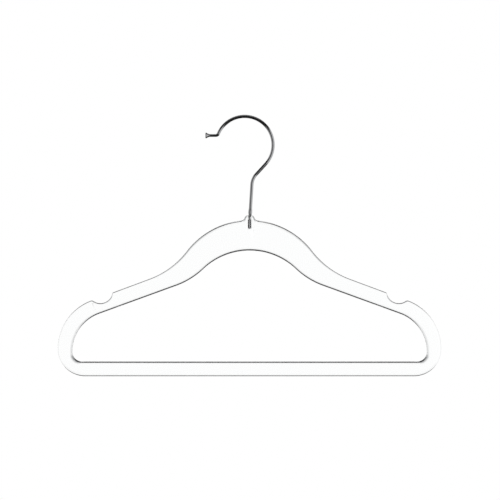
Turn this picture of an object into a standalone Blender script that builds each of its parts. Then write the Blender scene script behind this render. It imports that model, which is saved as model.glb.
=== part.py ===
"""Clear one-piece clothes hanger with a trouser bar, strap notches and a chromed hook that swivels in its neck.

Metres, +Z up, +X along the hanger, front face towards -Y. The origin is where a rail carries the hook: the point of
the hook's inner curve straight above the swivel axis. Every height below is measured from the underside of the bar.
"""

import math

import bmesh
import bpy
from mathutils import Vector

MM = 0.001

# Frame: overall
HALF_LENGTH = 177.8 * MM
THICKNESS = 6.0 * MM
EDGE_ROUNDING = 1.5 * MM
EDGE_SEGMENTS = 3

# Frame: outer outline
CROWN_TOP = 144.6 * MM
CROWN_RADIUS = 73.3 * MM
CROWN_FLARE_RADIUS = 77.4 * MM
SHOULDER_SLOPE = 0.371
SHOULDER_HEIGHT = 124.6 * MM  # of the shoulder line, carried on to the swivel axis
LOWER_CORNER_RADIUS = 25.4 * MM

# Frame: outline of the opening
OPENING_TOP = 116.45 * MM
OPENING_CROWN_RADIUS = 62.5 * MM
OPENING_FLARE_RADIUS = 72.1 * MM
OPENING_SLOPE = 0.363
OPENING_SHOULDER_HEIGHT = 108.5 * MM
OPENING_HALF_LENGTH = 164.3 * MM
OPENING_CORNER_RADIUS = 9.1 * MM
BAR_DEPTH = 13.6 * MM

# Frame: strap notch
NOTCH_X = 138.3 * MM
NOTCH_HEIGHT = 78.8 * MM
NOTCH_RADIUS = 11.2 * MM
NOTCH_LIP_RADIUS = 1.8 * MM
NOTCH_CREST_RADIUS = 3.0 * MM

# Frame: neck boss and the stepped hole in it
BOSS_TOP = 149.0 * MM
BOSS_HALF_WIDTH = 4.5 * MM
BOSS_FLANK_RADIUS = 3.4 * MM
BOSS_CORNER_RADIUS = 2.8 * MM
BOSS_STEP = 0.3 * MM  # the round neck stands this far above the flanks
NECK_RADIUS = 3.4 * MM
NECK_TOP_ROUNDING = 0.8 * MM
NECK_STRAIGHT_TO = 139.0 * MM
NECK_FOOT = 129.5 * MM
MOUTH_RADIUS = 1.9 * MM
MOUTH_DEPTH = 1.0 * MM
LIP_HOLE_RADIUS = 1.1 * MM
CHAMBER_RADIUS = 1.6 * MM
CHAMBER_TOP = 145.6 * MM
CHAMBER_FLOOR = 136.3 * MM

# Hook: the wire's centreline
WIRE_RADIUS = 1.5 * MM
LOOP_X = -4.6 * MM
LOOP_HEIGHT = 214.4 * MM
LOOP_RADIUS = 26.4 * MM
THROAT_ANGLE = math.radians(47.5)  # of the straight run below the loop, above the horizontal
THROAT_BEND_RADIUS = 16.0 * MM
STEM_LEAN = math.tan(math.radians(3.4))
STEM_SHIFT = 0.5 * MM  # to the right, where the wire leaves the neck
STEM_SHIFT_FROM = 147.0 * MM
STEM_SHIFT_TO = 149.5 * MM
TIP_HEIGHT = 223.1 * MM
TIP_KINK_RADIUS = 2.8 * MM
TIP_END_X = -40.9 * MM

# Hook: the spigot in the neck, the stop above the boss, and the upset tip
SPIGOT_RADIUS = 0.7 * MM
SPIGOT_FOOT = 136.8 * MM
STOP_RADIUS = 1.8 * MM
STOP_STEP = 0.2 * MM
STOP_FOOT = 149.3 * MM
STOP_LENGTH = 6.2 * MM
TIP_WAIST_RADIUS = 1.3 * MM
TIP_FLARE_LENGTH = 3.6 * MM
TIP_HEAD_RADIUS = 2.7 * MM
TIP_RIM = 0.8 * MM

# Retaining sleeve
SLEEVE_RADIUS = 1.3 * MM
SLEEVE_BORE_RADIUS = 1.0 * MM
SLEEVE_FOOT = 137.2 * MM
SLEEVE_TOP = 145.2 * MM
SLEEVE_CHAMFER = 0.2 * MM

# Faceting
ARC_STEP = 4.5 * MM  # longest chord along an outline's arc
ARC_ANGLE = math.radians(15)  # largest turn between two chords
WIRE_STEP = 3.0 * MM
WIRE_SHARPEST_TURN = math.radians(14)
WIRE_BEVEL_RESOLUTION = 4
SHIFT_STATIONS = 4
STOP_STATIONS = 6
TIP_STATIONS = 5
NECK_TOP_STATIONS = 3
NECK_FOOT_STATIONS = 6
TURNED_STEPS = 32
MERGE = 0.1 * MM  # closer points of an outline are one
WELD = 0.01 * MM
ROUNDED_FROM = math.radians(50)  # edges sharper than this are rounded

# The rail touches the loop's inner side, straight above the swivel axis.
SEAT_HEIGHT = LOOP_HEIGHT + math.sqrt((LOOP_RADIUS - WIRE_RADIUS) ** 2 - LOOP_X**2)


# ---------------------------------------------------------------- outlines


def circles_meet(centre_a, radius_a, centre_b, radius_b, left):
    """Where two circles cross: the crossing to the left, or the right, of the way from A to B."""
    across = centre_b - centre_a
    gap = across.length
    along = (gap**2 + radius_a**2 - radius_b**2) / (2 * gap)
    aside = math.sqrt(radius_a**2 - along**2) * (1 if left else -1)
    unit = across / gap
    return centre_a + unit * along + Vector((-unit.y, unit.x)) * aside


def line_meets_circle(height, slope, centre, radius, far):
    """Where the line z = height - slope * x crosses a circle: the crossing with the lower x, or the higher one."""
    drop = height - centre.y
    a = 1 + slope**2
    b = -2 * (centre.x + slope * drop)
    c = centre.x**2 + drop**2 - radius**2
    root = math.sqrt(b**2 - 4 * a * c)
    x = (-b + (root if far else -root)) / (2 * a)
    return Vector((x, height - slope * x))


def arc(centre, start, end, clockwise, step=ARC_STEP, turn=ARC_ANGLE):
    """Points along an arc from start to end, both included."""
    radius = (start - centre).length
    begin = math.atan2(start.y - centre.y, start.x - centre.x)
    sweep = math.atan2(end.y - centre.y, end.x - centre.x) - begin
    sweep = -((-sweep) % math.tau) if clockwise else sweep % math.tau
    count = max(2, math.ceil(abs(sweep) / min(turn, step / radius)))
    angles = [begin + sweep * i / count for i in range(count + 1)]
    return [centre + radius * Vector((math.cos(a), math.sin(a))) for a in angles]


def joined(*stretches):
    """One list of points from stretches that meet end to end, without the doubled ones."""
    points = []
    for stretch in stretches:
        for point in stretch:
            if not points or (point - points[-1]).length > MERGE:
                points.append(point)
    return points


def mirrored_loop(half):
    """A closed outline from its right half, which runs from the top to the bottom, both on the swivel axis."""
    left = [Vector((-p.x, p.y)) for p in reversed(half) if p.x > MERGE]
    return half + left


def crown_and_flare(top, crown_radius, flare_radius, line_height, slope):
    """Centres and joints of a crown arc, the reverse arc that touches it, and the straight shoulder it runs into."""
    pitch = math.hypot(1, slope)
    crown = Vector((0, top - crown_radius))
    raised_line = line_height + flare_radius * pitch
    flare = line_meets_circle(raised_line, slope, crown, crown_radius + flare_radius, True)
    meeting = crown.lerp(flare, crown_radius / (crown_radius + flare_radius))
    shoulder_start = flare - Vector((slope, 1)) * flare_radius / pitch
    return crown, flare, meeting, shoulder_start


def end_arc(half_length, corner_radius, floor, line_height, slope):
    """The arc from the shoulder line to the upright end, where the lower corner's arc starts."""
    pitch = math.hypot(1, slope)
    widest = floor + corner_radius
    radius = (line_height - widest - slope * half_length) / (pitch - slope)
    centre = Vector((half_length - radius, widest))
    shoulder_end = centre + Vector((slope, 1)) * radius / pitch
    return centre, radius, shoulder_end, Vector((half_length, widest))


def outer_outline():
    crown, flare, meeting, shoulder_start = crown_and_flare(
        CROWN_TOP, CROWN_RADIUS, CROWN_FLARE_RADIUS, SHOULDER_HEIGHT, SHOULDER_SLOPE
    )
    end, end_radius, _, widest = end_arc(
        HALF_LENGTH, LOWER_CORNER_RADIUS, 0, SHOULDER_HEIGHT, SHOULDER_SLOPE
    )

    flank_x = BOSS_HALF_WIDTH + BOSS_FLANK_RADIUS
    reach = CROWN_RADIUS + BOSS_FLANK_RADIUS
    flank = Vector((flank_x, crown.y + math.sqrt(reach**2 - flank_x**2)))
    flank_end = crown.lerp(flank, CROWN_RADIUS / reach)
    shoulder_top = BOSS_TOP - BOSS_STEP
    round_height = shoulder_top - BOSS_CORNER_RADIUS
    between = BOSS_FLANK_RADIUS + BOSS_CORNER_RADIUS
    round_x = flank_x - math.sqrt(between**2 - (flank.y - round_height) ** 2)
    boss_corner = Vector((round_x, round_height))
    flank_start = boss_corner.lerp(flank, BOSS_CORNER_RADIUS / between)

    notch = Vector((NOTCH_X, NOTCH_HEIGHT))
    sunk_line = SHOULDER_HEIGHT - NOTCH_LIP_RADIUS * math.hypot(1, SHOULDER_SLOPE)
    lip = line_meets_circle(
        sunk_line, SHOULDER_SLOPE, notch, NOTCH_RADIUS + NOTCH_LIP_RADIUS, False
    )
    lip_start = lip + Vector((SHOULDER_SLOPE, 1)).normalized() * NOTCH_LIP_RADIUS
    lip_end = notch + (lip - notch).normalized() * NOTCH_RADIUS
    crest = circles_meet(
        end, end_radius - NOTCH_CREST_RADIUS, notch, NOTCH_RADIUS + NOTCH_CREST_RADIUS, False
    )
    crest_start = notch + (crest - notch).normalized() * NOTCH_RADIUS
    crest_end = end + (crest - end).normalized() * end_radius

    corner = Vector((HALF_LENGTH - LOWER_CORNER_RADIUS, LOWER_CORNER_RADIUS))
    half = joined(
        [Vector((0, shoulder_top))],
        arc(boss_corner, Vector((round_x, shoulder_top)), flank_start, True),
        arc(flank, flank_start, flank_end, False),
        arc(crown, flank_end, meeting, True),
        arc(flare, meeting, shoulder_start, False),
        arc(lip, lip_start, lip_end, True),
        arc(notch, lip_end, crest_start, False),
        arc(crest, crest_start, crest_end, True),
        arc(end, crest_end, widest, True),
        arc(corner, widest, Vector((corner.x, 0)), True),
        [Vector((0, 0))],
    )
    return mirrored_loop(half)


def opening_outline():
    crown, flare, meeting, shoulder_start = crown_and_flare(
        OPENING_TOP,
        OPENING_CROWN_RADIUS,
        OPENING_FLARE_RADIUS,
        OPENING_SHOULDER_HEIGHT,
        OPENING_SLOPE,
    )
    end, _, shoulder_end, widest = end_arc(
        OPENING_HALF_LENGTH,
        OPENING_CORNER_RADIUS,
        BAR_DEPTH,
        OPENING_SHOULDER_HEIGHT,
        OPENING_SLOPE,
    )
    corner = Vector((OPENING_HALF_LENGTH - OPENING_CORNER_RADIUS, BAR_DEPTH + OPENING_CORNER_RADIUS))
    half = joined(
        arc(crown, Vector((0, OPENING_TOP)), meeting, True),
        arc(flare, meeting, shoulder_start, False),
        arc(end, shoulder_end, widest, True),
        arc(corner, widest, Vector((corner.x, BAR_DEPTH)), True),
        [Vector((0, BAR_DEPTH))],
    )
    return mirrored_loop(half)


# ---------------------------------------------------------------- hook centreline


def stem_x(height):
    """How far the stem stands from the swivel axis: on it in the neck, then shifted aside, then leaning."""
    share = (height - STEM_SHIFT_FROM) / (STEM_SHIFT_TO - STEM_SHIFT_FROM)
    share = min(1, max(0, share))
    return STEM_SHIFT * share**2 * (3 - 2 * share) + STEM_LEAN * max(0, height - STEM_SHIFT_TO)


def right_of(direction):
    return Vector((direction.y, -direction.x))


def throat_bend(stem, stem_way, throat, throat_way):
    """Centre of the bend that touches the stem and the throat, each given by a point and its unit direction."""
    stem_side = stem + right_of(stem_way) * THROAT_BEND_RADIUS
    throat_side = throat + right_of(throat_way) * THROAT_BEND_RADIUS
    along = (throat_side - stem_side).cross(throat_way) / stem_way.cross(throat_way)
    return stem_side + stem_way * along


def tip_kink(loop):
    """Centre of the bend that leaves the loop and curls up into the level tip."""
    height = TIP_HEIGHT + TIP_KINK_RADIUS
    reach = LOOP_RADIUS + TIP_KINK_RADIUS
    return Vector((loop.x - math.sqrt(reach**2 - (height - loop.y) ** 2), height))


def hook_stations():
    """The wire's centreline in the XZ plane, from the spigot's foot to the tip, as (point, radius) pairs."""
    stations = [(Vector((0, SPIGOT_FOOT)), SPIGOT_RADIUS)]
    for i in range(SHIFT_STATIONS + 1):
        height = STEM_SHIFT_FROM + (STOP_FOOT - STOP_STEP - STEM_SHIFT_FROM) * i / SHIFT_STATIONS
        stations.append((Vector((stem_x(height), height)), SPIGOT_RADIUS))
    for i in range(STOP_STATIONS + 1):
        share = i / STOP_STATIONS
        height = STOP_FOOT + share * STOP_LENGTH
        swell = (STOP_RADIUS - WIRE_RADIUS) * math.sin(math.pi * share)
        stations.append((Vector((stem_x(height), height)), WIRE_RADIUS + swell))

    loop = Vector((LOOP_X, LOOP_HEIGHT))
    stem_way = Vector((STEM_LEAN, 1)).normalized()
    throat_way = Vector((math.cos(THROAT_ANGLE), math.sin(THROAT_ANGLE)))
    throat_end = loop + right_of(throat_way) * LOOP_RADIUS
    bend = throat_bend(stations[-1][0], stem_way, throat_end, throat_way)
    kink = tip_kink(loop)
    kink_start = loop.lerp(kink, LOOP_RADIUS / (LOOP_RADIUS + TIP_KINK_RADIUS))
    kink_end = Vector((kink.x, TIP_HEIGHT))
    bend_arc = wire_arc(
        bend,
        bend - right_of(stem_way) * THROAT_BEND_RADIUS,
        bend - right_of(throat_way) * THROAT_BEND_RADIUS,
        True,
    )
    loop_arc = wire_arc(loop, throat_end, kink_start, False)
    stations += [(point, WIRE_RADIUS) for point in bend_arc + loop_arc]

    kink_arc = wire_arc(kink, kink_start, kink_end, True)[1:]
    for i, point in enumerate(kink_arc, 1):
        share = i / len(kink_arc)
        stations.append((point, WIRE_RADIUS + (TIP_WAIST_RADIUS - WIRE_RADIUS) * share))

    for i in range(TIP_STATIONS + 1):
        share = i / TIP_STATIONS
        x = TIP_END_X + TIP_RIM + TIP_FLARE_LENGTH * (1 - share)
        flare = (TIP_HEAD_RADIUS - TIP_WAIST_RADIUS) * share**2
        stations.append((Vector((x, TIP_HEIGHT)), TIP_WAIST_RADIUS + flare))
    stations.append((Vector((TIP_END_X, TIP_HEIGHT)), TIP_HEAD_RADIUS - TIP_RIM / 2))
    return stations


def wire_arc(centre, start, end, clockwise):
    return arc(centre, start, end, clockwise, step=WIRE_STEP, turn=WIRE_SHARPEST_TURN)


# ---------------------------------------------------------------- objects


def clear_scene():
    for obj in list(bpy.data.objects):
        bpy.data.objects.remove(obj, do_unlink=True)


def new_collection(name):
    collection = bpy.data.collections.new(name)
    bpy.context.scene.collection.children.link(collection)
    return collection


def new_material(name, colour, metallic, roughness, transmission=0.0):
    material = bpy.data.materials.new(name)
    material.use_nodes = True
    shader = material.node_tree.nodes["Principled BSDF"]
    shader.inputs["Base Color"].default_value = (*colour, 1)
    shader.inputs["Metallic"].default_value = metallic
    shader.inputs["Roughness"].default_value = roughness
    shader.inputs["Transmission Weight"].default_value = transmission
    return material


def placed(name, data, collection, datum, material=None):
    obj = bpy.data.objects.new(name, data)
    collection.objects.link(obj)
    obj.parent = datum
    if material:
        data.materials.append(material)
    return obj


def turned(name, profile, collection, datum, closed=False, material=None):
    """A profile of (radius, height) points, top to bottom on its outer side, spun about the swivel axis."""
    mesh = bpy.data.meshes.new(name)
    edges = [(i, i + 1) for i in range(len(profile) - 1)]
    if closed:
        edges.append((len(profile) - 1, 0))
    mesh.from_pydata([(radius, 0, height) for radius, height in profile], edges, [])
    obj = placed(name, mesh, collection, datum, material)
    screw = obj.modifiers.new("turn", "SCREW")
    screw.steps = TURNED_STEPS
    screw.render_steps = TURNED_STEPS
    screw.use_merge_vertices = True
    screw.merge_threshold = WELD
    screw.use_smooth_shade = True
    return obj


def as_cutter(obj):
    obj.hide_render = True
    obj.display_type = "WIRE"
    return obj


def meshed(curve_object, collection):
    """The curve object as a welded mesh object in the same place."""
    bpy.context.view_layer.update()
    graph = bpy.context.evaluated_depsgraph_get()
    mesh = bpy.data.meshes.new_from_object(curve_object.evaluated_get(graph))
    form = bmesh.new()
    form.from_mesh(mesh)
    bmesh.ops.remove_doubles(form, verts=form.verts, dist=WELD)
    form.to_mesh(mesh)
    form.free()
    name = curve_object.name
    place = curve_object.matrix_world.copy()
    datum = curve_object.parent
    bpy.data.objects.remove(curve_object, do_unlink=True)
    obj = placed(name, mesh, collection, datum)
    obj.matrix_world = place
    return obj


def outline_plate(name, outlines, thickness, collection, datum, material):
    """A flat plate between closed outlines in the XZ plane, centred on Y = 0."""
    curve = bpy.data.curves.new(name, "CURVE")
    curve.dimensions = "2D"
    curve.fill_mode = "BOTH"
    curve.extrude = thickness / 2
    curve.materials.append(material)
    for outline in outlines:
        spline = curve.splines.new("POLY")
        spline.points.add(len(outline) - 1)
        spline.use_cyclic_u = True
        for point, at in zip(spline.points, outline):
            point.co = (at.x, at.y, 0, 1)
    obj = placed(name, curve, collection, datum)
    obj.rotation_euler.x = math.pi / 2
    return meshed(obj, collection)


def boolean(obj, operation, other):
    modifier = obj.modifiers.new(other.name, "BOOLEAN")
    modifier.operation = operation
    modifier.object = other
    modifier.solver = "EXACT"


def neck_profile():
    """The round neck: a rounded top edge, a straight side, and a foot that shrinks into the plate."""
    profile = [(0, BOSS_TOP)]
    for i in range(NECK_TOP_STATIONS + 1):
        angle = math.pi / 2 * i / NECK_TOP_STATIONS
        radius = NECK_RADIUS - NECK_TOP_ROUNDING * (1 - math.sin(angle))
        profile.append((radius, BOSS_TOP - NECK_TOP_ROUNDING * (1 - math.cos(angle))))
    for i in range(NECK_FOOT_STATIONS):
        angle = math.pi / 2 * i / NECK_FOOT_STATIONS
        height = NECK_STRAIGHT_TO - (NECK_STRAIGHT_TO - NECK_FOOT) * math.sin(angle)
        profile.append((NECK_RADIUS * math.cos(angle), height))
    return profile + [(0, NECK_FOOT)]


def bore_profile():
    """The stepped hole: a countersunk mouth, the narrow hole in the lip, and the sleeve's chamber."""
    above = BOSS_TOP + MOUTH_DEPTH
    return [
        (0, above),
        (2 * MOUTH_RADIUS - LIP_HOLE_RADIUS, above),
        (LIP_HOLE_RADIUS, BOSS_TOP - MOUTH_DEPTH),
        (LIP_HOLE_RADIUS, CHAMBER_TOP),
        (CHAMBER_RADIUS, CHAMBER_TOP),
        (CHAMBER_RADIUS, CHAMBER_FLOOR),
        (0, CHAMBER_FLOOR),
    ]


def make_frame(parts, cutters, datum):
    """The clear moulding: a plate with rounded edges, the round neck joined on, and the stepped hole cut out."""
    plastic = new_material("clear_plastic", (0.96, 0.97, 0.97), 0, 0.04, transmission=1)
    frame = outline_plate(
        "clear_frame", (outer_outline(), opening_outline()), THICKNESS, parts, datum, plastic
    )
    rounding = frame.modifiers.new("rounded_edges", "BEVEL")
    rounding.width = EDGE_ROUNDING
    rounding.segments = EDGE_SEGMENTS
    rounding.limit_method = "ANGLE"
    rounding.angle_limit = ROUNDED_FROM
    rounding.use_clamp_overlap = False
    rounding.loop_slide = False  # keeps the width even where the flat faces' triangles meet the outline
    boolean(frame, "UNION", as_cutter(turned("neck_form", neck_profile(), cutters, datum)))
    boolean(frame, "DIFFERENCE", as_cutter(turned("neck_bore", bore_profile(), cutters, datum)))
    return frame


def make_hook(parts, datum):
    """The bent wire, thinner in the neck, swelling at its stop and upset at its tip."""
    curve = bpy.data.curves.new("swivel_hook", "CURVE")
    curve.dimensions = "3D"
    curve.bevel_depth = WIRE_RADIUS
    curve.bevel_resolution = WIRE_BEVEL_RESOLUTION
    curve.use_fill_caps = True
    stations = hook_stations()
    spline = curve.splines.new("POLY")
    spline.points.add(len(stations) - 1)
    for point, (at, radius) in zip(spline.points, stations):
        point.co = (at.x, 0, at.y, 1)
        point.radius = radius / WIRE_RADIUS
    chrome = new_material("chromed_wire", (0.78, 0.78, 0.79), 1, 0.08)
    return placed("swivel_hook", curve, parts, datum, chrome)


def make_sleeve(parts, datum):
    """The barrel crimped round the spigot, which the lip of the neck traps."""
    profile = [
        (SLEEVE_RADIUS - SLEEVE_CHAMFER, SLEEVE_TOP),
        (SLEEVE_RADIUS, SLEEVE_TOP - SLEEVE_CHAMFER),
        (SLEEVE_RADIUS, SLEEVE_FOOT + SLEEVE_CHAMFER),
        (SLEEVE_RADIUS - SLEEVE_CHAMFER, SLEEVE_FOOT),
        (SLEEVE_BORE_RADIUS, SLEEVE_FOOT),
        (SLEEVE_BORE_RADIUS, SLEEVE_TOP),
    ]
    steel = new_material("sleeve_steel", (0.5, 0.5, 0.51), 1, 0.35)
    return turned("retaining_sleeve", profile, parts, datum, closed=True, material=steel)


def main():
    clear_scene()
    parts = new_collection("clothes_hanger")
    cutters = new_collection("cutters")
    datum = bpy.data.objects.new("swivel_axis_at_bar_underside", None)
    parts.objects.link(datum)
    datum.location.z = -SEAT_HEIGHT
    make_frame(parts, cutters, datum)
    make_hook(parts, datum)
    make_sleeve(parts, datum)


main()
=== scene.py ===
"""Looks of the clear clothes hanger: a moulded frame, a chromed swivel hook and the sleeve that holds it.

Metres, +Z up, +X along the hanger, front face towards -Y. Heights are measured from the underside of the bar.
"""

import math

import bmesh
import bpy
import numpy as np
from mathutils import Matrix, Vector


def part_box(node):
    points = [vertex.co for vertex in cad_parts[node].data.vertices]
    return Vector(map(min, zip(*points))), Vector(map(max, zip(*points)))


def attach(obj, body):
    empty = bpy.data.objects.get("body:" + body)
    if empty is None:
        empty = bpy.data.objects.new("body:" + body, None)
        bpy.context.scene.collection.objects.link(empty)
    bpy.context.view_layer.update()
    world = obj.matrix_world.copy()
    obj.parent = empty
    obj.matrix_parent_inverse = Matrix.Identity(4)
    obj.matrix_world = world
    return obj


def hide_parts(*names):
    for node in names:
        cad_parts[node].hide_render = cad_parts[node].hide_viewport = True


MM = 0.001

# Frame outlines, as in the CAD part
HALF_LENGTH = 177.8 * MM
THICKNESS = 6.0 * MM
CROWN_TOP = 144.6 * MM
CROWN_RADIUS = 73.3 * MM
CROWN_FLARE_RADIUS = 77.4 * MM
SHOULDER_SLOPE = 0.371
SHOULDER_HEIGHT = 124.6 * MM
LOWER_CORNER_RADIUS = 25.4 * MM
OPENING_TOP = 116.45 * MM
OPENING_CROWN_RADIUS = 62.5 * MM
OPENING_FLARE_RADIUS = 72.1 * MM
OPENING_SLOPE = 0.363
OPENING_SHOULDER_HEIGHT = 108.5 * MM
OPENING_HALF_LENGTH = 164.3 * MM
OPENING_CORNER_RADIUS = 9.1 * MM
BAR_DEPTH = 13.6 * MM
NOTCH = Vector((138.3 * MM, 78.8 * MM))
NOTCH_RADIUS = 11.2 * MM
NOTCH_LIP_RADIUS = 1.8 * MM
NOTCH_CREST_RADIUS = 3.0 * MM

# Neck, as in the CAD part
BOSS_TOP = 149.0 * MM
BOSS_HALF_WIDTH = 4.5 * MM
BOSS_FLANK_RADIUS = 3.4 * MM
BOSS_CORNER_RADIUS = 2.8 * MM
BOSS_STEP = 0.3 * MM
NECK_RADIUS = 3.4 * MM
NECK_TOP_ROUNDING = 0.8 * MM
NECK_STRAIGHT_TO = 139.0 * MM
NECK_FOOT = 129.5 * MM
MOUTH_RADIUS = 1.9 * MM
MOUTH_DEPTH = 1.0 * MM
LIP_HOLE_RADIUS = 1.1 * MM
CHAMBER_RADIUS = 1.36 * MM  # a running fit on the sleeve, closer than in the CAD part
CHAMBER_TOP = 145.6 * MM
CHAMBER_FLOOR = 136.3 * MM

# Hook, as in the CAD part
WIRE_RADIUS = 1.5 * MM
LOOP_X = -4.6 * MM
LOOP_HEIGHT = 214.4 * MM
LOOP_RADIUS = 26.4 * MM
THROAT_ANGLE = math.radians(47.5)
THROAT_BEND_RADIUS = 16.0 * MM
STEM_LEAN = math.tan(math.radians(3.4))
STEM_SHIFT = 0.5 * MM  # to the right, where the wire leaves the neck
STEM_SHIFT_FROM = 147.0 * MM
STEM_SHIFT_TO = 149.5 * MM
TIP_HEIGHT = 223.1 * MM
TIP_KINK_RADIUS = 2.8 * MM
TIP_END_X = -40.9 * MM
SPIGOT_RADIUS = 0.7 * MM
SPIGOT_FOOT = 136.8 * MM
STOP_RADIUS = 1.8 * MM
STOP_STEP = 0.2 * MM
STOP_FOOT = 149.3 * MM
STOP_LENGTH = 6.2 * MM
TIP_WAIST_RADIUS = 1.3 * MM
TIP_FLARE_LENGTH = 3.6 * MM
TIP_HEAD_RADIUS = 2.7 * MM
TIP_RIM = 0.8 * MM

# Sleeve, as in the CAD part
SLEEVE_RADIUS = 1.3 * MM
SLEEVE_BORE_RADIUS = 1.0 * MM
SLEEVE_FOOT = 137.2 * MM
SLEEVE_TOP = 145.2 * MM
SLEEVE_CHAMFER = 0.2 * MM

# Detail of the moulding's edge
CROWN_ROUNDING = 3.8 * MM  # how far the rounding reaches in from the outline
CROWN_ROUNDING_TO = 25 * MM  # from the swivel axis
SHOULDER_ROUNDING = 2.35 * MM
SHOULDER_ROUNDING_FROM = 85 * MM
UNDERSIDE_ROUNDING = 2.5 * MM
OPENING_ROUNDING = 3.4 * MM
OPENING_CORNER_ROUNDING = 4.8 * MM
ROUNDING_STATIONS = 9
ROUNDING_SHARE = 0.65  # of the outline's own radius, where that is tight
ROUNDING_GROWTH = 0.35
FLAT_MARGIN = 0.2  # of the rounding's width: a flat strip, so the rounding doesn't tilt the face's shading
PARTING_RIDGE = 0.05 * MM
PARTING_HALF_WIDTH = 0.1 * MM
PARTING_CREST_HALF_WIDTH = 0.03 * MM
SAME_POINT = 0.01 * MM  # closer points of an outline are one
OUTLINE_STEP = 1.2 * MM
OUTLINE_TURN = math.radians(5)
TURNED_STEPS = 96
NECK_ROUNDING_STEPS = 6
NECK_FOOT_STEPS = 16
SHARP_FROM = math.radians(40)
WELD = 0.001 * MM

# Where the moulding's edge is dull, and painted dark grey as painted shade that draws its edges
DULL_AND_SHADE_LAYER = "dull_and_shaded_wall"
DULL_AND_SHADED_OPENING_ENDS = 0.5  # as a share of the notches' and the boss's
DULL_AND_SHADED_OUTER_ENDS = 0.2
DULL_AND_SHADED_BOSS_TO = 7.0 * MM  # from the swivel axis
DULL_AND_SHADED_BOSS_FADE = 2.0 * MM
DULL_AND_SHADED_NOTCHES_TO = 150.0 * MM
DULL_AND_SHADED_NOTCHES_FADE = 4.0 * MM

# Detail of the wire
WIRE_STEP = 0.8 * MM
WIRE_TURN = math.radians(3)
WIRE_SIDES = 40
SPIGOT_END = ((0, 0.7), (0.1 * MM, 0.9), (0.25 * MM, 1))  # height above its foot, share of its radius
SHIFT_STEPS = 12
STOP_STEPS = 24
STOP_SHOULDER = 0.16  # share of the radius that the stop's foot is rounded off by
STOP_SHOULDER_LENGTH = 1 / 12  # share of the stop's length
TIP_STEPS = 16
RIM_STEPS = 6

# Detail of the sleeve: fine rings left by turning
GROOVES = 9
GROOVE_DEPTH = 0.04 * MM
GROOVE_STEPS = 8
SLEEVE_SIDES = 64

# Colours
CLEAR = (0.985, 0.99, 0.99)
# painted shade: the dark grey painted on the moulding's dull edges, which draws its edges
EDGE_PAINTED_SHADE = (0.19, 0.195, 0.2)
PLATED = (0.78, 0.785, 0.8)
# painted shade: the spigot's dark colour inside the neck's bore
SPIGOT_PAINTED_SHADE = (0.12, 0.12, 0.125)
PALE_STEEL = (0.33, 0.33, 0.335)
DARK_STEEL = (0.19, 0.19, 0.195)
PAPER = (0.9, 0.9, 0.9)
PLASTIC_IOR = 1.49
PAINTED_SHADE_FADE = 0.6 * MM  # below the stop's foot

# Camera: where it stands before the hanger, and what its picture is centred on
CAMERA_DISTANCE = 1287.4 * MM
CAMERA_X = 0.37 * MM
CAMERA_HEIGHT = 116.97 * MM
LENS = 100
SENSOR_WIDTH = 36

# Floor
FLOOR_DROP = 1.0
FLOOR_RADIUS = 4.5
FLOOR_SIDES = 96

# Light, as shares of white
FLOOR_LIGHT = 1.08
SEEN_THROUGH_PLASTIC = 1.035
FLAG_LIGHT = 0.05
UPPER_FLAG = (20, 34, 62, 78)  # degrees off the horizontal: the dark ring begins, is full, fades, is gone
LOWER_FLAG = (28, 41, 66, 80)
SIDE_LIGHT_SLANT = (0.88, 0.58)  # a direction's height over its way aside: none of a side light, all of it
RIGHT_LIGHT = 0.52
RIGHT_LIGHT_ASIDE = (0, 0.35)  # a direction's way aside: none of the light, all of it
LEFT_LIGHT = 0.28
LEFT_LIGHT_ASIDE = (-0.35, -0.75)
BACK_LIGHT = 0.8
BACK_LIGHT_SPREAD = (10, 35)  # degrees off straight behind: all of the light to here, none from here
TOP_LIGHT = 0.22
TOP_LIGHT_ANGLES = (40, 85)  # degrees above the horizontal: it begins, and is full
SPILL = 0.012


# ---------------------------------------------------------------- outlines


def shares(steps):
    """Evenly spaced shares from 0 to 1."""
    return [i / steps for i in range(steps + 1)]


def quarter_turn(steps):
    """Evenly spaced angles from 0 to 90 degrees."""
    return [math.pi / 2 * share for share in shares(steps)]


def circles_meet(centre_a, radius_a, centre_b, radius_b, left):
    """Where two circles cross: the crossing to the left, or the right, of the way from A to B."""
    across = centre_b - centre_a
    gap = across.length
    along = (gap**2 + radius_a**2 - radius_b**2) / (2 * gap)
    aside = math.sqrt(radius_a**2 - along**2) * (1 if left else -1)
    unit = across / gap
    return centre_a + unit * along + Vector((-unit.y, unit.x)) * aside


def line_meets_circle(height, slope, centre, radius, far):
    """Where the line z = height - slope * x crosses a circle: at the lower x, or at the higher one."""
    drop = height - centre.y
    a = 1 + slope**2
    b = -2 * (centre.x + slope * drop)
    c = centre.x**2 + drop**2 - radius**2
    root = math.sqrt(b**2 - 4 * a * c)
    x = (-b + (root if far else -root)) / (2 * a)
    return Vector((x, height - slope * x))


def arc_points(centre, start, end, clockwise, step, turn):
    """Points along an arc from start to end, both included."""
    radius = (start - centre).length
    begin = math.atan2(start.y - centre.y, start.x - centre.x)
    sweep = math.atan2(end.y - centre.y, end.x - centre.x) - begin
    sweep = -((-sweep) % math.tau) if clockwise else sweep % math.tau
    count = max(2, math.ceil(abs(sweep) / min(turn, step / radius)))
    angles = [begin + sweep * i / count for i in range(count + 1)]
    return [centre + radius * Vector((math.cos(a), math.sin(a))) for a in angles]


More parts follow.
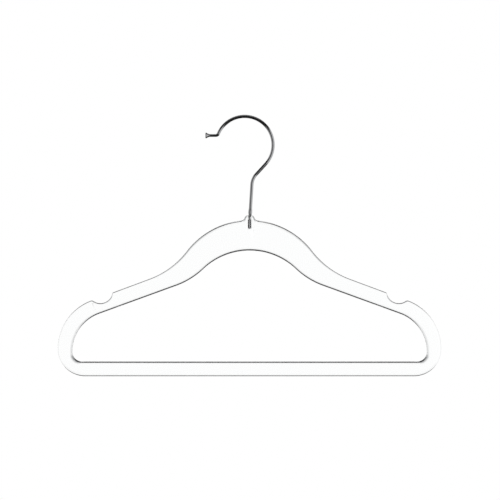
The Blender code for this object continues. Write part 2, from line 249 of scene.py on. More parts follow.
class Outline:
    """The right half of a closed outline.

    A row is a point, the normal out of the plastic, and the radius of the plastic's own curve.
    """

    def __init__(self, side):
        self.side = side  # 1 round the plastic, -1 round the opening
        self.rows = []

    def arc(self, centre, start, end, clockwise):
        """Adds the points of an arc. The plastic's own curve has a radius only where it bulges."""
        bulge = self.side if clockwise else -self.side
        radius = (start - centre).length
        for point in arc_points(centre, start, end, clockwise, OUTLINE_STEP, OUTLINE_TURN):
            normal = (point - centre).normalized() * bulge
            self.add(point, normal, radius if bulge > 0 else math.inf)

    def add(self, point, normal, radius):
        """Adds a point, and before it those of the straight run that leads to it."""
        if self.rows:
            last = self.rows[-1][0]
            gap = (point - last).length
            if gap < SAME_POINT:
                return
            count = math.ceil(gap / OUTLINE_STEP)
            along = (point - last) / gap
            straight = Vector((-along.y, along.x)) * self.side
            for i in range(1, count):
                self.rows.append((last.lerp(point, i / count), straight, math.inf))
        self.rows.append((point, normal, radius))

    def loop(self):
        """The closed outline as arrays: points, normals and radii."""
        left = [
            (Vector((-p.x, p.y)), Vector((-n.x, n.y)), r)
            for p, n, r in reversed(self.rows)
            if p.x > SAME_POINT
        ]
        rows = self.rows + left
        points = np.array([p[:] for p, _, _ in rows])
        normals = np.array([n[:] for _, n, _ in rows])
        return points, normals, np.array([r for _, _, r in rows])


def crown_and_flare(top, crown_radius, flare_radius, line_height, slope):
    """Centres and joints of a crown arc, the reverse arc that touches it, and the straight shoulder."""
    pitch = math.hypot(1, slope)
    crown = Vector((0, top - crown_radius))
    raised_line = line_height + flare_radius * pitch
    flare = line_meets_circle(raised_line, slope, crown, crown_radius + flare_radius, True)
    meeting = crown.lerp(flare, crown_radius / (crown_radius + flare_radius))
    shoulder_start = flare - Vector((slope, 1)) * flare_radius / pitch
    return crown, flare, meeting, shoulder_start


def end_arc(half_length, corner_radius, floor, line_height, slope):
    """The arc from the shoulder line to the upright end, where the lower corner's arc starts."""
    pitch = math.hypot(1, slope)
    widest = floor + corner_radius
    radius = (line_height - widest - slope * half_length) / (pitch - slope)
    centre = Vector((half_length - radius, widest))
    shoulder_end = centre + Vector((slope, 1)) * radius / pitch
    return centre, radius, shoulder_end, Vector((half_length, widest))


def outer_outline():
    """The frame's outline, from the boss along the crown, shoulder, notch and end to the underside."""
    crown, flare, meeting, shoulder_start = crown_and_flare(
        CROWN_TOP, CROWN_RADIUS, CROWN_FLARE_RADIUS, SHOULDER_HEIGHT, SHOULDER_SLOPE
    )
    end, end_radius, _, widest = end_arc(
        HALF_LENGTH, LOWER_CORNER_RADIUS, 0, SHOULDER_HEIGHT, SHOULDER_SLOPE
    )

    flank_x = BOSS_HALF_WIDTH + BOSS_FLANK_RADIUS
    reach = CROWN_RADIUS + BOSS_FLANK_RADIUS
    flank = Vector((flank_x, crown.y + math.sqrt(reach**2 - flank_x**2)))
    flank_end = crown.lerp(flank, CROWN_RADIUS / reach)
    shoulder_top = BOSS_TOP - BOSS_STEP
    round_height = shoulder_top - BOSS_CORNER_RADIUS
    between = BOSS_FLANK_RADIUS + BOSS_CORNER_RADIUS
    round_x = flank_x - math.sqrt(between**2 - (flank.y - round_height) ** 2)
    boss_corner = Vector((round_x, round_height))
    flank_start = boss_corner.lerp(flank, BOSS_CORNER_RADIUS / between)

    sunk_line = SHOULDER_HEIGHT - NOTCH_LIP_RADIUS * math.hypot(1, SHOULDER_SLOPE)
    lip = line_meets_circle(
        sunk_line, SHOULDER_SLOPE, NOTCH, NOTCH_RADIUS + NOTCH_LIP_RADIUS, False
    )
    lip_start = lip + Vector((SHOULDER_SLOPE, 1)).normalized() * NOTCH_LIP_RADIUS
    lip_end = NOTCH + (lip - NOTCH).normalized() * NOTCH_RADIUS
    crest = circles_meet(
        end, end_radius - NOTCH_CREST_RADIUS, NOTCH, NOTCH_RADIUS + NOTCH_CREST_RADIUS, False
    )
    crest_start = NOTCH + (crest - NOTCH).normalized() * NOTCH_RADIUS
    crest_end = end + (crest - end).normalized() * end_radius

    corner = Vector((HALF_LENGTH - LOWER_CORNER_RADIUS, LOWER_CORNER_RADIUS))
    half = Outline(1)
    half.add(Vector((0, shoulder_top)), Vector((0, 1)), math.inf)
    half.arc(boss_corner, Vector((round_x, shoulder_top)), flank_start, True)
    half.arc(flank, flank_start, flank_end, False)
    half.arc(crown, flank_end, meeting, True)
    half.arc(flare, meeting, shoulder_start, False)
    half.arc(lip, lip_start, lip_end, True)
    half.arc(NOTCH, lip_end, crest_start, False)
    half.arc(crest, crest_start, crest_end, True)
    half.arc(end, crest_end, widest, True)
    half.arc(corner, widest, Vector((corner.x, 0)), True)
    half.add(Vector((0, 0)), Vector((0, -1)), math.inf)
    return half.loop()


def opening_outline():
    """The opening's outline, which the trouser bar closes below."""
    crown, flare, meeting, shoulder_start = crown_and_flare(
        OPENING_TOP,
        OPENING_CROWN_RADIUS,
        OPENING_FLARE_RADIUS,
        OPENING_SHOULDER_HEIGHT,
        OPENING_SLOPE,
    )
    end, _, shoulder_end, widest = end_arc(
        OPENING_HALF_LENGTH,
        OPENING_CORNER_RADIUS,
        BAR_DEPTH,
        OPENING_SHOULDER_HEIGHT,
        OPENING_SLOPE,
    )
    corner = Vector((OPENING_HALF_LENGTH - OPENING_CORNER_RADIUS, BAR_DEPTH + OPENING_CORNER_RADIUS))
    half = Outline(-1)
    half.arc(crown, Vector((0, OPENING_TOP)), meeting, True)
    half.arc(flare, meeting, shoulder_start, False)
    half.arc(end, shoulder_end, widest, True)
    half.arc(corner, widest, Vector((corner.x, BAR_DEPTH)), True)
    half.add(Vector((0, BAR_DEPTH)), Vector((0, 1)), math.inf)
    return half.loop()


# ---------------------------------------------------------------- meshes


def mesh_object(name, vertices, faces, material=None):
    mesh = bpy.data.meshes.new(name)
    mesh.from_pydata(vertices, [], faces)
    mesh.validate()
    obj = bpy.data.objects.new(name, mesh)
    bpy.context.scene.collection.objects.link(obj)
    if material:
        mesh.materials.append(material)
    return obj


def outward(obj):
    """Turns the faces of a closed mesh outwards."""
    form = bmesh.new()
    form.from_mesh(obj.data)
    bmesh.ops.recalc_face_normals(form, faces=form.faces)
    form.to_mesh(obj.data)
    form.free()


def rounding_widths(points, radii, widest):
    """How far the edge's rounding reaches in at each point: less where the outline itself turns tightly."""
    limits = np.minimum(widest, ROUNDING_SHARE * radii)
    steps = np.linalg.norm(np.roll(points, -1, axis=0) - points, axis=1)
    along = np.concatenate([[0], np.cumsum(steps)[:-1]])
    apart = np.abs(along[:, None] - along[None, :])
    apart = np.minimum(apart, steps.sum() - apart)
    return np.minimum(widest, (limits[None, :] + ROUNDING_GROWTH * apart).min(axis=1))


def edge_rings(outline, widest, half_thickness):
    """Rings of (points, share of the turn to the side wall), from the front face round to the back face."""
    points, normals, radii = outline
    widths = rounding_widths(points, radii, widest)
    face = half_thickness
    sections = [(widths * (1 + FLAT_MARGIN), -face, 0)]
    side = face - PARTING_HALF_WIDTH
    for angle in quarter_turn(ROUNDING_STATIONS):
        inset = PARTING_RIDGE + (widths - PARTING_RIDGE) * (1 - math.sin(angle))
        sections.append((inset, -face + side * (1 - math.cos(angle)), math.sin(angle)))
    sections.append((np.zeros(len(points)), -PARTING_CREST_HALF_WIDTH, 1))
    sections += [(inset, -depth, turn) for inset, depth, turn in reversed(sections)]
    rings = []
    for inset, depth, turn in sections:
        ring = points - normals * inset[:, None]
        rings.append((np.column_stack([ring[:, 0], np.full(len(ring), depth), ring[:, 1]]), turn))
    return rings


def eased(values, low, high):
    """A share that grows smoothly from 0 at low to 1 at high."""
    share = np.clip((values - low) / (high - low), 0, 1)
    return share**2 * (3 - 2 * share)


def corner_share(normals):
    """1 in the opening's lower corners, where the side wall faces up and inwards, and 0 beside them."""
    return eased(normals[:, 1], 0, 0.5) * eased(np.abs(normals[:, 0]), 0, 0.5)


def widest_rounding(outline, inner):
    """The rounding's width along an outline, before tight curves limit it."""
    points, normals, _ = outline
    if inner:
        return OPENING_ROUNDING + (OPENING_CORNER_ROUNDING - OPENING_ROUNDING) * corner_share(normals)
    crown = eased(np.abs(points[:, 0]), SHOULDER_ROUNDING_FROM, CROWN_ROUNDING_TO)
    underside = eased(-normals[:, 1], 0.5, 1)
    return SHOULDER_ROUNDING + np.where(
        points[:, 1] > LOWER_CORNER_RADIUS,
        (CROWN_ROUNDING - SHOULDER_ROUNDING) * crown,
        (UNDERSIDE_ROUNDING - SHOULDER_ROUNDING) * underside,
    )


def dull_and_shade_shares(outline, inner, turn):
    """How dull the edge is at each point of a ring, and how much painted shade it gets: the boss and the
    steep side walls are rougher and painted dark grey.
    """
    points, normals, _ = outline
    side_wall = eased(turn, 0.3, 0.75)
    steep = eased(np.abs(normals[:, 0]), 0.25, 0.8)
    if inner:
        return side_wall * np.maximum(DULL_AND_SHADED_OPENING_ENDS * steep, corner_share(normals))
    aside = np.abs(points[:, 0])
    notches = eased(aside, DULL_AND_SHADED_NOTCHES_TO, DULL_AND_SHADED_NOTCHES_TO - DULL_AND_SHADED_NOTCHES_FADE)
    notches = np.maximum(DULL_AND_SHADED_OUTER_ENDS, notches)
    boss = eased(turn, 0.1, 0.5) * eased(aside, DULL_AND_SHADED_BOSS_TO, DULL_AND_SHADED_BOSS_TO - DULL_AND_SHADED_BOSS_FADE)
    boss *= points[:, 1] > SHOULDER_HEIGHT
    return np.maximum(side_wall * steep * notches, boss)


def stitched(vertices, outer, inner):
    """A strip of triangles between two closed loops of vertex numbers.

    The loops start side by side and run the same way.
    """
    triangles = []
    i = j = 0
    while i < len(outer) or j < len(inner):
        here, there = outer[i % len(outer)], inner[j % len(inner)]
        ahead, beyond = outer[(i + 1) % len(outer)], inner[(j + 1) % len(inner)]
        if j == len(inner):
            first = True
        elif i == len(outer):
            first = False
        else:
            first = math.dist(vertices[ahead], vertices[there]) < math.dist(vertices[here], vertices[beyond])
        if first:
            triangles.append((here, ahead, there))
            i += 1
        else:
            triangles.append((here, beyond, there))
            j += 1
    return triangles


def plate(name, half_thickness, material):
    """The frame's plate between its outer outline and its opening, with rounded edges and a parting line."""
    vertices, faces, flats, dull_and_shaded = [], [], [], []
    for outline, inner in ((outer_outline(), False), (opening_outline(), True)):
        rings = edge_rings(outline, widest_rounding(outline, inner), half_thickness)
        count = len(outline[0])
        first = len(vertices)
        for ring, turn in rings:
            vertices += [tuple(p) for p in ring]
            dull_and_shaded += list(dull_and_shade_shares(outline, inner, turn))
        for k in range(len(rings) - 1):
            near, far = first + k * count, first + (k + 1) * count
            for i in range(count):
                j = (i + 1) % count
                faces.append((near + i, near + j, far + j, far + i))
        last = first + (len(rings) - 1) * count
        flats.append((range(first, first + count), range(last, last + count)))
    for outer, inner in zip(*flats):
        faces += stitched(vertices, outer, inner)
    obj = mesh_object(name, vertices, faces, material)
    outward(obj)
    # the dull edges' shares: their roughness, and their painted shade of dark grey
    layer = obj.data.attributes.new(DULL_AND_SHADE_LAYER, "FLOAT", "POINT")
    layer.data.foreach_set("value", np.array(dull_and_shaded, dtype=np.float32))
    return obj


def lathe(name, profile, closed, material=None, steps=TURNED_STEPS):
    """A profile of (radius, height) points spun about the swivel axis. Points on the axis close it."""
    vertices, rings = [], []
    for radius, height in profile:
        if radius == 0:
            rings.append([len(vertices)] * steps)
            vertices.append((0, 0, height))
            continue
        rings.append(list(range(len(vertices), len(vertices) + steps)))
        for k in range(steps):
            angle = math.tau * k / steps
            vertices.append((radius * math.cos(angle), radius * math.sin(angle), height))
    faces = []
    pairs = list(zip(rings, rings[1:]))
    if closed:
        pairs.append((rings[-1], rings[0]))
    for near, far in pairs:
        for k in range(steps):
            j = (k + 1) % steps
            corners = (near[k], near[j], far[j], far[k])
            faces.append(tuple(dict.fromkeys(corners)))  # a triangle at the axis
    obj = mesh_object(name, vertices, faces, material)
    outward(obj)
    return obj


def neck_profile():
    """The round neck: a rounded top edge, a straight side, and a foot that shrinks into the plate."""
    profile = [(0, BOSS_TOP)]
    for angle in quarter_turn(NECK_ROUNDING_STEPS):
        radius = NECK_RADIUS - NECK_TOP_ROUNDING * (1 - math.sin(angle))
        profile.append((radius, BOSS_TOP - NECK_TOP_ROUNDING * (1 - math.cos(angle))))
    for angle in quarter_turn(NECK_FOOT_STEPS)[:-1]:
        height = NECK_STRAIGHT_TO - (NECK_STRAIGHT_TO - NECK_FOOT) * math.sin(angle)
        profile.append((NECK_RADIUS * math.cos(angle), height))
    return profile + [(0, NECK_FOOT)]


def bore_profile():
    """The stepped hole: a countersunk mouth, the narrow hole in the lip, and the sleeve's chamber."""
    above = BOSS_TOP + MOUTH_DEPTH
    return [
        (0, above),
        (2 * MOUTH_RADIUS - LIP_HOLE_RADIUS, above),
        (LIP_HOLE_RADIUS, BOSS_TOP - MOUTH_DEPTH),
        (LIP_HOLE_RADIUS, CHAMBER_TOP),
        (CHAMBER_RADIUS, CHAMBER_TOP),
        (CHAMBER_RADIUS, CHAMBER_FLOOR),
        (0, CHAMBER_FLOOR),
    ]


def apply_boolean(obj, operation, other):
    """Joins the other object to the mesh, or cuts it out, and removes it."""
    modifier = obj.modifiers.new(operation, "BOOLEAN")
    modifier.operation = operation
    modifier.object = other
    modifier.solver = "EXACT"
    bpy.context.view_layer.update()
    graph = bpy.context.evaluated_depsgraph_get()
    mesh = bpy.data.meshes.new_from_object(obj.evaluated_get(graph))
    old = obj.data
    obj.modifiers.clear()
    obj.data = mesh
    bpy.data.meshes.remove(old)
    bpy.data.objects.remove(other, do_unlink=True)


def weld(obj):
    """Closes the hairline triangles that a Boolean leaves."""
    form = bmesh.new()
    form.from_mesh(obj.data)
    bmesh.ops.remove_doubles(form, verts=form.verts, dist=WELD)
    form.to_mesh(obj.data)
    form.free()


def smooth(obj):
    obj.data.shade_smooth()
    obj.data.set_sharp_from_angle(angle=SHARP_FROM)


def make_frame(underside, material):
    """The moulding: the plate, the round neck joined on, and the stepped hole cut out."""
    obj = plate("clear_frame_moulding", THICKNESS / 2, material)
    apply_boolean(obj, "UNION", lathe("neck_form", neck_profile(), False))
    apply_boolean(obj, "DIFFERENCE", lathe("neck_bore", bore_profile(), False))
    weld(obj)
    obj.data.name = obj.name
    obj.location.z = underside
    smooth(obj)
    return obj


# ---------------------------------------------------------------- hook


def stem_x(height):
    """How far the stem stands from the swivel axis: on it in the neck, then shifted aside, then leaning."""
    share = (height - STEM_SHIFT_FROM) / (STEM_SHIFT_TO - STEM_SHIFT_FROM)
    share = min(1, max(0, share))
    return STEM_SHIFT * share**2 * (3 - 2 * share) + STEM_LEAN * max(0, height - STEM_SHIFT_TO)


def right_of(direction):
    """The direction turned a quarter turn clockwise."""
    return Vector((direction.y, -direction.x))


def wire_arc(centre, start, end, clockwise):
    return arc_points(centre, start, end, clockwise, WIRE_STEP, WIRE_TURN)


def straight_run(start, end, radius):
    """Stations between two points, both left out."""
    count = max(1, math.ceil((end - start).length / WIRE_STEP))
    return [(start.lerp(end, i / count), radius) for i in range(1, count)]


def spigot_stations():
    """The thin spigot, from its rounded foot to the stop."""
    stations = [(Vector((0, SPIGOT_FOOT + rise)), SPIGOT_RADIUS * share) for rise, share in SPIGOT_END]
    stations += straight_run(stations[-1][0], Vector((0, STEM_SHIFT_FROM)), SPIGOT_RADIUS)
    for share in shares(SHIFT_STEPS):
        height = STEM_SHIFT_FROM + (STOP_FOOT - STOP_STEP - STEM_SHIFT_FROM) * share
        stations.append((Vector((stem_x(height), height)), SPIGOT_RADIUS))
    return stations


def stop_stations():
    """The swaged bulge above the boss, with a rounded foot."""
    stations = []
    for share in shares(STOP_STEPS):
        height = STOP_FOOT + share * STOP_LENGTH
        swell = (STOP_RADIUS - WIRE_RADIUS) * math.sin(math.pi * share)
        shoulder = 1 - STOP_SHOULDER * (1 - min(1, share / STOP_SHOULDER_LENGTH)) ** 2
        stations.append((Vector((stem_x(height), height)), (WIRE_RADIUS + swell) * shoulder))
    return stations


def loop_stations(stem):
    """From the stop's top: the stem, the bend, the slanting throat, the loop and the kink before the tip."""
    loop = Vector((LOOP_X, LOOP_HEIGHT))
    stem_way = Vector((STEM_LEAN, 1)).normalized()
    throat_way = Vector((math.cos(THROAT_ANGLE), math.sin(THROAT_ANGLE)))
    throat_end = loop + right_of(throat_way) * LOOP_RADIUS
    stem_side = stem + right_of(stem_way) * THROAT_BEND_RADIUS
    throat_side = throat_end + right_of(throat_way) * THROAT_BEND_RADIUS
    along = (throat_side - stem_side).cross(throat_way) / stem_way.cross(throat_way)
    bend = stem_side + stem_way * along
    bend_start = bend - right_of(stem_way) * THROAT_BEND_RADIUS
    bend_end = bend - right_of(throat_way) * THROAT_BEND_RADIUS

    height = TIP_HEIGHT + TIP_KINK_RADIUS
    reach = LOOP_RADIUS + TIP_KINK_RADIUS
    kink = Vector((loop.x - math.sqrt(reach**2 - (height - loop.y) ** 2), height))
    kink_start = loop.lerp(kink, LOOP_RADIUS / reach)
    kink_end = Vector((kink.x, TIP_HEIGHT))

    stations = straight_run(stem, bend_start, WIRE_RADIUS)
    stations += [(p, WIRE_RADIUS) for p in wire_arc(bend, bend_start, bend_end, True)]
    stations += straight_run(bend_end, throat_end, WIRE_RADIUS)
    stations += [(p, WIRE_RADIUS) for p in wire_arc(loop, throat_end, kink_start, False)]
    kink_arc = wire_arc(kink, kink_start, kink_end, True)
    thinning = (TIP_WAIST_RADIUS - WIRE_RADIUS) / (len(kink_arc) - 1)
    stations += [(p, WIRE_RADIUS + thinning * i) for i, p in enumerate(kink_arc)][1:]
    return stations


def tip_stations():
    """The upset tip: a flare from the waist to the head, and the head's rounded rim."""
    stations = []
    for share in shares(TIP_STEPS)[1:]:
        x = TIP_END_X + TIP_RIM + TIP_FLARE_LENGTH * (1 - share)
        flare = (TIP_HEAD_RADIUS - TIP_WAIST_RADIUS) * share**2
        stations.append((Vector((x, TIP_HEIGHT)), TIP_WAIST_RADIUS + flare))
    for angle in quarter_turn(RIM_STEPS)[1:]:
        x = TIP_END_X + TIP_RIM * (1 - math.sin(angle))
        inset = TIP_RIM / 2 * (1 - math.cos(angle))
        stations.append((Vector((x, TIP_HEIGHT)), TIP_HEAD_RADIUS - inset))
    return stations


def wire_mesh(points, radii):
    """Vertices and faces of a round wire through points in the XZ plane, with a fan over each end."""
    ways = np.gradient(points, axis=0)
    ways /= np.linalg.norm(ways, axis=1)[:, None]
    vertices, faces = [], []
    for (x, z), (way_x, way_z), radius in zip(points, ways, radii):
        for k in range(WIRE_SIDES):
            angle = math.tau * k / WIRE_SIDES
            across = radius * math.cos(angle)
            vertices.append((x - way_z * across, radius * math.sin(angle), z + way_x * across))
    last = len(vertices) - WIRE_SIDES
    for near in range(0, last, WIRE_SIDES):
        far = near + WIRE_SIDES
        for k in range(WIRE_SIDES):
            j = (k + 1) % WIRE_SIDES
            faces.append((near + k, near + j, far + j, far + k))
    foot = len(vertices)
    tip = foot + 1
    vertices += [(x, 0, z) for x, z in (points[0], points[-1])]
    for k in range(WIRE_SIDES):
        j = (k + 1) % WIRE_SIDES
        faces.append((foot, j, k))
        faces.append((tip, last + k, last + j))
    return vertices, faces


def unwrap_wire(mesh, points):
    """UVs in decimetres along the wire and turns round it, which the lines of the drawn wire follow."""
    steps = np.linalg.norm(np.diff(points, axis=0), axis=1)
    along = 10 * np.concatenate([[0], np.cumsum(steps)])
    distances = [*np.repeat(along, WIRE_SIDES), along[0], along[-1]]
    turns = [*[k / WIRE_SIDES for k in range(WIRE_SIDES)] * len(points), 0, 0]
    layer = mesh.uv_layers.new(name="along_the_wire")
    for polygon in mesh.polygons:
        corners = [(i, mesh.loops[i].vertex_index) for i in polygon.loop_indices]
        seam = any(turns[vertex] == turns[WIRE_SIDES - 1] for _, vertex in corners)
        for i, vertex in corners:
            turn = 1 if seam and turns[vertex] == 0 else turns[vertex]
            layer.data[i].uv = (distances[vertex], turn)


def make_hook(underside, material):
    """The bent wire, from its spigot in the neck to its tip."""
    stations = spigot_stations() + stop_stations()
    stations += loop_stations(stations[-1][0])
    stations += tip_stations()
    points = np.array([p[:] for p, _ in stations])
    obj = mesh_object("chromed_swivel_hook", *wire_mesh(points, [r for _, r in stations]), material)
    outward(obj)
    unwrap_wire(obj.data, points)
    obj.location.z = underside
    smooth(obj)
    return obj


def make_sleeve(underside, material):
    """The barrel round the spigot, with the fine rings left by turning."""
    low, high = SLEEVE_FOOT + SLEEVE_CHAMFER, SLEEVE_TOP - SLEEVE_CHAMFER
    profile = [(SLEEVE_RADIUS - SLEEVE_CHAMFER, SLEEVE_TOP)]
    for share in shares(GROOVES * GROOVE_STEPS):
        wave = 0.5 - 0.5 * math.cos(math.tau * GROOVES * share)
        profile.append((SLEEVE_RADIUS - GROOVE_DEPTH * wave**3, high + (low - high) * share))
    profile += [
        (SLEEVE_RADIUS - SLEEVE_CHAMFER, SLEEVE_FOOT),
        (SLEEVE_BORE_RADIUS, SLEEVE_FOOT),
        (SLEEVE_BORE_RADIUS, SLEEVE_TOP),
    ]
    obj = lathe("turned_retaining_sleeve", profile, True, material, SLEEVE_SIDES)
    obj.location.z = underside
    smooth(obj)
    return obj


# ---------------------------------------------------------------- materials


def new_material(name):
    """A node material, with its tree and its shader."""
    material = bpy.data.materials.new(name)
    material.use_nodes = True
    tree = material.node_tree
    return material, tree, tree.nodes["Principled BSDF"]


def feed(tree, socket, value):
    """Sets a socket to a number, or links it to another node's output."""
    if isinstance(value, (int, float)):
        socket.default_value = value
    else:
        tree.links.new(value, socket)


def math_node(tree, operation, *values):
    node = tree.nodes.new("ShaderNodeMath")
    node.operation = operation
    for socket, value in zip(node.inputs, values):
        feed(tree, socket, value)
    return node.outputs["Value"]


def blended(tree, share, first, second):
    """The first value where the share is 0, the second where it is 1."""
    node = tree.nodes.new("ShaderNodeMix")
    node.data_type = "FLOAT"
    for socket, value in zip((node.inputs[0], node.inputs[2], node.inputs[3]), (share, first, second)):
        feed(tree, socket, value)
    return node.outputs[0]


def blended_colour(tree, share, first, second):
    node = tree.nodes.new("ShaderNodeMix")
    node.data_type = "RGBA"
    tree.links.new(share, node.inputs[0])
    for socket, colour in zip((node.inputs[6], node.inputs[7]), (first, second)):
        socket.default_value = (*colour, 1)
    return node.outputs[2]


def object_place(tree):
    return tree.nodes.new("ShaderNodeTexCoord").outputs["Object"]


def noise(tree, scale, detail, coordinates, stretch=None):
    if stretch:
        mapping = tree.nodes.new("ShaderNodeMapping")
        mapping.inputs["Scale"].default_value = stretch
        tree.links.new(coordinates, mapping.inputs["Vector"])
        coordinates = mapping.outputs["Vector"]
    texture = tree.nodes.new("ShaderNodeTexNoise")
    texture.inputs["Scale"].default_value = scale
    texture.inputs["Detail"].default_value = detail
    tree.links.new(coordinates, texture.inputs["Vector"])
    return texture.outputs["Fac"]


def ranged(tree, value, low, high, to_low, to_high, smoothly=False):
    """Maps the range from low to high onto another one, and stops at its ends."""
    node = tree.nodes.new("ShaderNodeMapRange")
    node.interpolation_type = "SMOOTHSTEP" if smoothly else "LINEAR"
    for name, number in zip(("From Min", "From Max", "To Min", "To Max"), (low, high, to_low, to_high)):
        node.inputs[name].default_value = number
    tree.links.new(value, node.inputs["Value"])
    return node.outputs["Result"]


def bump(tree, height, strength, distance):
    node = tree.nodes.new("ShaderNodeBump")
    node.inputs["Strength"].default_value = strength
    node.inputs["Distance"].default_value = distance
    tree.links.new(height, node.inputs["Height"])
    return node.outputs["Normal"]


def clear_plastic():
    """Water-clear injection-moulded plastic: polished, with faint flow waves and handling marks, and dull
    edges that are rougher and painted dark grey as painted shade.
    """
    material, tree, shader = new_material("clear_moulded_plastic")
    shader.inputs["Transmission Weight"].default_value = 1
    shader.inputs["IOR"].default_value = PLASTIC_IOR
    edge = tree.nodes.new("ShaderNodeAttribute")
    edge.attribute_name = DULL_AND_SHADE_LAYER
    dull = edge.outputs["Fac"]
    # painted shade: the dull edges are painted dark grey, which draws the plastic's edges
    colour = blended_colour(tree, dull, CLEAR, EDGE_PAINTED_SHADE)
    tree.links.new(colour, shader.inputs["Base Color"])

    where = object_place(tree)
    haze = ranged(tree, noise(tree, 45, 3, where), 0.3, 0.7, 0.004, 0.018)
    scuffs = ranged(tree, noise(tree, 900, 4, where, (1, 1, 0.12)), 0.62, 0.8, 0, 0.03)
    roughness = math_node(tree, "ADD", haze, scuffs)
    roughness = math_node(tree, "ADD", roughness, ranged(tree, dull, 0, 1, 0, 0.3))
    tree.links.new(roughness, shader.inputs["Roughness"])
    waves = noise(tree, 28, 1, where)
    tree.links.new(bump(tree, waves, 0.04, 0.1 * MM), shader.inputs["Normal"])
    return material


def chrome():
    """Bright chrome over drawn wire, with fine lines along it under the plating.

    The spigot in the neck is painted dark, as painted shade inside the neck's bore.
    """
    material, tree, shader = new_material("chrome_plating")
    shader.inputs["Metallic"].default_value = 1
    coordinates = tree.nodes.new("ShaderNodeTexCoord")
    place = tree.nodes.new("ShaderNodeSeparateXYZ")
    tree.links.new(coordinates.outputs["Object"], place.inputs[0])
    # painted shade: below the stop's foot the spigot is painted dark, for the shade inside the neck's bore
    clear_of_painted_shade = ranged(tree, place.outputs["Z"], STOP_FOOT - PAINTED_SHADE_FADE, STOP_FOOT, 0, 1, True)
    colour = blended_colour(tree, clear_of_painted_shade, SPIGOT_PAINTED_SHADE, PLATED)
    tree.links.new(colour, shader.inputs["Base Color"])

    drawn = noise(tree, 40, 4, coordinates.outputs["UV"], (0.3, 9, 1))
    cloud = noise(tree, 240, 3, coordinates.outputs["Object"])
    haze = ranged(tree, cloud, 0.35, 0.7, 0.04, 0.09)
    lines = ranged(tree, drawn, 0.4, 0.75, 0, 0.06)
    tree.links.new(math_node(tree, "ADD", haze, lines), shader.inputs["Roughness"])
    tree.links.new(bump(tree, drawn, 0.12, 0.02 * MM), shader.inputs["Normal"])
    return material


def sleeve_steel():
    """Plain turned steel, duller than the chromed wire."""
    material, tree, shader = new_material("turned_steel")
    shader.inputs["Metallic"].default_value = 1
    where = object_place(tree)
    rings = noise(tree, 500, 3, where, (0.3, 0.3, 6))
    spots = noise(tree, 900, 4, where)
    colour = blended_colour(tree, spots, DARK_STEEL, PALE_STEEL)
    tree.links.new(colour, shader.inputs["Base Color"])
    tree.links.new(ranged(tree, rings, 0.3, 0.7, 0.14, 0.26), shader.inputs["Roughness"])
    tree.links.new(bump(tree, rings, 0.2, 0.03 * MM), shader.inputs["Normal"])
    return material


def floor_paper():
    """Matt off-white paper."""
    material, tree, shader = new_material("pale_floor")
    shader.inputs["Base Color"].default_value = (*PAPER, 1)
    mottle = noise(tree, 6, 3, object_place(tree))
    tree.links.new(ranged(tree, mottle, 0.3, 0.7, 0.75, 0.9), shader.inputs["Roughness"])
    return material


# ---------------------------------------------------------------- studio


def lobe(tree, direction, way, inner, outer, strength):
    """A soft round patch of light: full within inner degrees of its way, gone beyond outer."""
    dot = tree.nodes.new("ShaderNodeVectorMath")
    dot.operation = "DOT_PRODUCT"
    dot.inputs[1].default_value = way
    tree.links.new(direction, dot.inputs[0])
    gone, full = (math.cos(math.radians(angle)) for angle in (outer, inner))
    return ranged(tree, dot.outputs["Value"], gone, full, 0, strength, True)


def sloped(tree, height, begins, full):
    """A share that grows from 0 to 1 between two angles above the horizontal."""
    low, high = (math.sin(math.radians(angle)) for angle in (begins, full))
    return ranged(tree, height, low, high, 0, 1, True)


def flag(tree, height, begins, full, fades, gone):
    """A dark ring of the studio between two heights above the horizontal, with soft edges."""
    return math_node(
        tree, "MULTIPLY", sloped(tree, height, begins, full), sloped(tree, height, gone, fades)
    )


def light_through(tree, height):
    """What is seen through the plastic: white, with a dark ring above and below that draws the edges."""
    depth = math_node(tree, "MULTIPLY", height, -1)
    flags = math_node(tree, "ADD", flag(tree, height, *UPPER_FLAG), flag(tree, depth, *LOWER_FLAG))
    return ranged(tree, flags, 0, 1, SEEN_THROUGH_PLASTIC, FLAG_LIGHT)


def light_mirrored(tree, direction, height, aside):
    """What metal and gloss mirror: dark, with a light on each side, one behind the hanger and one overhead.

    The side lights are wedges that open to the sides: upright wire catches them, slanting wire stays dark.
    """
    slant = math_node(tree, "ABSOLUTE", math_node(tree, "DIVIDE", height, aside))
    wedge = ranged(tree, slant, *SIDE_LIGHT_SLANT, 0, 1, True)
    right = ranged(tree, aside, *RIGHT_LIGHT_ASIDE, 0, RIGHT_LIGHT, True)
    left = ranged(tree, aside, *LEFT_LIGHT_ASIDE, 0, LEFT_LIGHT, True)
    lights = [
        math_node(tree, "MULTIPLY", wedge, right),
        math_node(tree, "MULTIPLY", wedge, left),
        lobe(tree, direction, (0, 1, 0), *BACK_LIGHT_SPREAD, BACK_LIGHT),
        math_node(tree, "MULTIPLY", sloped(tree, height, *TOP_LIGHT_ANGLES), TOP_LIGHT),
    ]
    total = SPILL
    for light in lights:
        total = math_node(tree, "ADD", light, total)
    return total


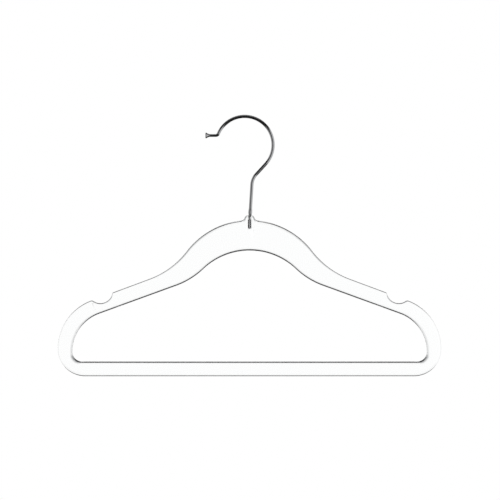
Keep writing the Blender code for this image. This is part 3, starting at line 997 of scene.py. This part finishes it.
def studio_world():
    """Soft light from all round.

    It differs for what is lit, what is mirrored and what is seen through the plastic.
    """
    world = bpy.data.worlds.new("studio")
    bpy.context.scene.world = world
    world.use_nodes = True
    tree = world.node_tree
    direction = tree.nodes.new("ShaderNodeTexCoord").outputs["Generated"]
    split = tree.nodes.new("ShaderNodeSeparateXYZ")
    tree.links.new(direction, split.inputs[0])
    height = split.outputs["Z"]
    mirrored = light_mirrored(tree, direction, height, split.outputs["X"])

    rays = tree.nodes.new("ShaderNodeLightPath").outputs
    light = blended(tree, rays["Is Glossy Ray"], FLOOR_LIGHT, mirrored)
    light = blended(tree, rays["Is Transmission Ray"], light, light_through(tree, height))
    light = blended(tree, rays["Is Camera Ray"], light, 1)
    background = tree.nodes["Background"]
    background.inputs["Color"].default_value = (1, 1, 1, 1)
    tree.links.new(light, background.inputs["Strength"])


def make_camera(underside):
    """Straight in front of the hanger, and level."""
    data = bpy.data.cameras.new("camera")
    data.lens = LENS
    data.sensor_width = SENSOR_WIDTH
    data.clip_start = 0.05
    data.clip_end = 50
    camera = bpy.data.objects.new("camera", data)
    bpy.context.scene.collection.objects.link(camera)
    camera.location = (CAMERA_X, -CAMERA_DISTANCE, underside + CAMERA_HEIGHT)
    camera.rotation_euler = (math.pi / 2, 0, 0)
    bpy.context.scene.camera = camera


def make_floor(underside):
    """A round pale floor below the hanger. Plastic and metal don't show it, only the light round them."""
    angles = [math.tau * k / FLOOR_SIDES for k in range(FLOOR_SIDES)]
    rim = [(FLOOR_RADIUS * math.cos(a), FLOOR_RADIUS * math.sin(a), 0) for a in angles]
    floor = mesh_object("studio_floor", rim, [tuple(range(FLOOR_SIDES))], floor_paper())
    floor.location.z = underside - FLOOR_DROP
    floor.visible_transmission = False
    floor.visible_glossy = False


# ---------------------------------------------------------------- scene

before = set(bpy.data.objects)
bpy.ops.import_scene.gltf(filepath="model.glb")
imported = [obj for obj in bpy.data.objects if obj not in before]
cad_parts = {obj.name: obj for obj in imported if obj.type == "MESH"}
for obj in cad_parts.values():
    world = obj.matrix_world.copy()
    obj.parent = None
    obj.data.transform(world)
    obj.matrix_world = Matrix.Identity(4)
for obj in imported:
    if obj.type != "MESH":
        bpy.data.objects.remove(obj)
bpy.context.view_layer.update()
frame_low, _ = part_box("clear_frame")
bar_underside = frame_low.z

moulding = make_frame(bar_underside, clear_plastic())
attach(moulding, "frame")
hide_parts("clear_frame")

hook = make_hook(bar_underside, chrome())
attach(hook, "hook")
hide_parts("swivel_hook")

sleeve = make_sleeve(bar_underside, sleeve_steel())
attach(sleeve, "hook")
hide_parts("retaining_sleeve")

studio_world()
make_floor(bar_underside)
make_camera(bar_underside)
bpy.context.scene.view_settings.view_transform = "Standard"
